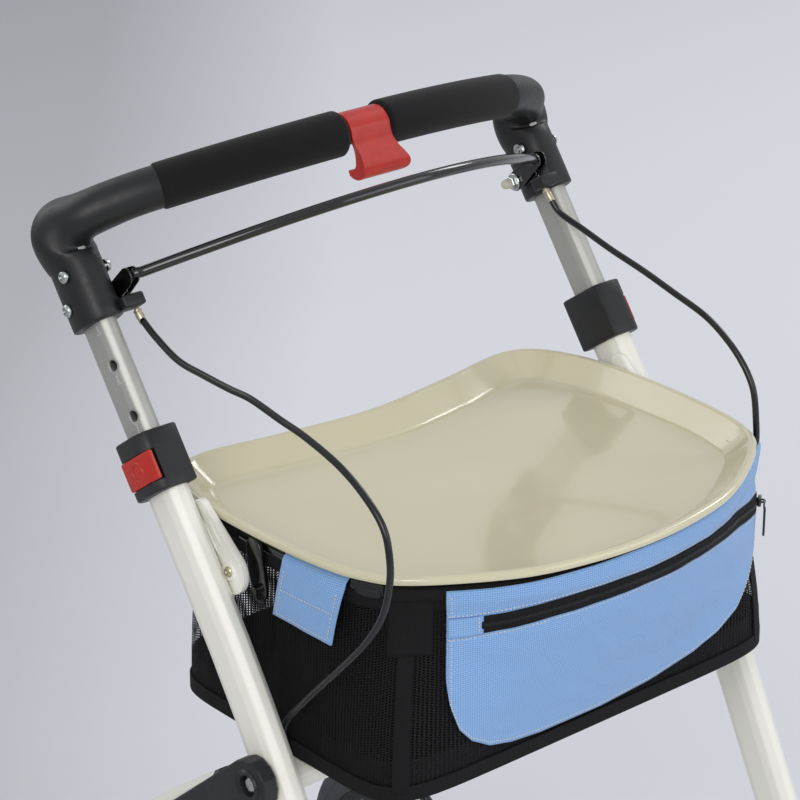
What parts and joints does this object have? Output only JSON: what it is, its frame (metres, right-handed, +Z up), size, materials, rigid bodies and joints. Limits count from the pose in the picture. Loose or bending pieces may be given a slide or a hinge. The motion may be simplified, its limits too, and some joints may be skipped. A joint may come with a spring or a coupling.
{
  "type": "indoor rollator",
  "caption": "Folding indoor rollator with full-width padded grip, squeeze brake bar, parking catch, height adjustment, serving tray and mesh basket.",
  "frame": {"origin": "floor point under the middle of the bounding box, wheels on Z = 0", "axes": "+Z up, +Y towards the person who pushes it, X across the grip with X = 0 between the two side frames"},
  "size_m": [0.532, 0.742, 0.956],
  "materials": {
    "cream_paint": "smooth cream powder coat on aluminium tube",
    "silver_paint": "satin silver anodised height tube",
    "black_plastic": "moulded black, lightly worn satin",
    "black_paint": "gloss black coated steel rod",
    "foam": "closed-cell foam, matt with fine pores",
    "red_plastic": "moulded red, satin",
    "white_plastic": "moulded white, glossy",
    "tray_plastic": "glossy cream moulding",
    "zinc_steel": "bright zinc plate",
    "cable_sheath": "black plastic sheath",
    "black_mesh": "black open mesh",
    "blue_cloth": "light blue coarse woven nylon",
    "tyre_rubber": "dark grey rubber"
  },
  "bodies": {
    "frame": {"cross_tube": "cream_paint", "basket_frame": "black_paint", "basket": "black_mesh", "basket_pocket": "blue_cloth", "front_leg_left": "cream_paint", "height_collar_left": "black_plastic", "basket_bracket_left": "white_plastic", "basket_tab_left": "blue_cloth", "caster_housing_left": "black_plastic", "brake_cable_left": "cable_sheath", "front_leg_right": "cream_paint", "height_collar_right": "black_plastic", "basket_bracket_right": "white_plastic", "basket_tab_right": "blue_cloth", "caster_housing_right": "black_plastic", "brake_cable_right": "cable_sheath"},
    "handle": {"handle_core": "zinc_steel", "height_tube_left": "silver_paint", "handle_elbow_left": "black_plastic", "foam_grip_left": "foam", "elbow_bolt_left": "zinc_steel", "brake_pivot_bolt_left": "zinc_steel", "height_tube_right": "silver_paint", "handle_elbow_right": "black_plastic", "foam_grip_right": "foam", "elbow_bolt_right": "zinc_steel", "brake_pivot_bolt_right": "zinc_steel"},
    "latch": {"parking_latch": "red_plastic"},
    "brake_lever": {"brake_bar": "black_paint", "cable_nipple_left": "zinc_steel", "cable_nipple_right": "zinc_steel"},
    "serving_tray": {"tray": "tray_plastic"},
    "button_left": {"lock_button_left": "red_plastic"},
    "rear_side_left": {"rear_leg_left": "cream_paint", "hinge_arm_left": "black_plastic", "hinge_bolt_left": "zinc_steel", "brake_mount_left": "black_plastic", "rear_brake_cable_left": "cable_sheath"},
    "shoe_left": {"brake_shoe_left": "black_plastic"},
    "rear_roller_left": {"rear_tyre_left": "tyre_rubber", "rear_wheel_left": "black_plastic"},
    "caster_left": {"caster_fork_left": "black_plastic"},
    "front_roller_left": {"front_tyre_left": "tyre_rubber", "front_wheel_left": "black_plastic"},
    "button_right": {"lock_button_right": "red_plastic"},
    "rear_side_right": {"rear_leg_right": "cream_paint", "hinge_arm_right": "black_plastic", "hinge_bolt_right": "zinc_steel", "brake_mount_right": "black_plastic", "rear_brake_cable_right": "cable_sheath"},
    "shoe_right": {"brake_shoe_right": "black_plastic"},
    "rear_roller_right": {"rear_tyre_right": "tyre_rubber", "rear_wheel_right": "black_plastic"},
    "caster_right": {"caster_fork_right": "black_plastic"},
    "front_roller_right": {"front_tyre_right": "tyre_rubber", "front_wheel_right": "black_plastic"}
  },
  "joints": [
    {"name": "height_slide", "type": "slide", "parent": "frame", "child": "handle", "axis": [0, 0.5835, 0.8121], "range_m": [-0.0766, 0.0383], "deforming": ["brake_cable_left", "brake_cable_right"]},
    {"name": "latch_turn", "type": "hinge", "parent": "handle", "child": "latch", "pos_m": [0, 0.006, 0.94], "axis": [-1, 0, 0], "range_deg": [0, 79]},
    {"name": "brake_squeeze", "type": "hinge", "parent": "handle", "child": "brake_lever", "pos_m": [0, 0.052, 0.8427], "axis": [-1, 0, 0], "range_deg": [0, 20], "stiffness_Nm_per_rad": 2, "springref_deg": -5.73},
    {"name": "tray_lift", "type": "slide", "parent": "frame", "child": "serving_tray", "axis": [0, 0, 1], "range_m": [0, 0.065]},
    {"name": "button_press_left", "type": "slide", "parent": "frame", "child": "button_left", "axis": [1, 0, 0], "range_m": [0, 0.0036], "stiffness_N_per_m": 400, "springref_m": -0.002},
    {"name": "fold_left", "type": "hinge", "parent": "frame", "child": "rear_side_left", "pos_m": [-0.2174, -0.15, 0.552], "axis": [-1, 0, 0], "range_deg": [0, 44]},
    {"name": "shoe_press_left", "type": "hinge", "parent": "rear_side_left", "child": "shoe_left", "pos_m": [-0.249, 0.22034, 0.21602], "axis": [-1, 0, 0], "range_deg": [0, 5]},
    {"name": "rear_roll_left", "type": "hinge", "parent": "rear_side_left", "child": "rear_roller_left", "pos_m": [-0.249, 0.272, 0.1], "axis": [1, 0, 0], "continuous": true},
    {"name": "swivel_left", "type": "hinge", "parent": "frame", "child": "caster_left", "pos_m": [-0.2174, -0.312, 0.2125], "axis": [0, 0, 1], "continuous": true},
    {"name": "front_roll_left", "type": "hinge", "parent": "caster_left", "child": "front_roller_left", "pos_m": [-0.2174, -0.27, 0.1], "axis": [1, 0, 0], "continuous": true},
    {"name": "button_press_right", "type": "slide", "parent": "frame", "child": "button_right", "axis": [-1, 0, 0], "range_m": [0, 0.0036], "stiffness_N_per_m": 400, "springref_m": -0.002},
    {"name": "fold_right", "type": "hinge", "parent": "frame", "child": "rear_side_right", "pos_m": [0.2174, -0.15, 0.552], "axis": [-1, 0, 0], "range_deg": [0, 44]},
    {"name": "shoe_press_right", "type": "hinge", "parent": "rear_side_right", "child": "shoe_right", "pos_m": [0.249, 0.22034, 0.21602], "axis": [-1, 0, 0], "range_deg": [0, 5]},
    {"name": "rear_roll_right", "type": "hinge", "parent": "rear_side_right", "child": "rear_roller_right", "pos_m": [0.249, 0.272, 0.1], "axis": [1, 0, 0], "continuous": true},
    {"name": "swivel_right", "type": "hinge", "parent": "frame", "child": "caster_right", "pos_m": [0.2174, -0.312, 0.2125], "axis": [0, 0, 1], "continuous": true},
    {"name": "front_roll_right", "type": "hinge", "parent": "caster_right", "child": "front_roller_right", "pos_m": [0.2174, -0.27, 0.1], "axis": [1, 0, 0], "continuous": true}
  ],
  "couplings": [
    {"joint": "shoe_press_left", "follows": "brake_squeeze", "ratio": 0.2},
    {"joint": "shoe_press_right", "follows": "brake_squeeze", "ratio": 0.2},
    {"joint": "fold_right", "follows": "fold_left", "ratio": 1}
  ]
}
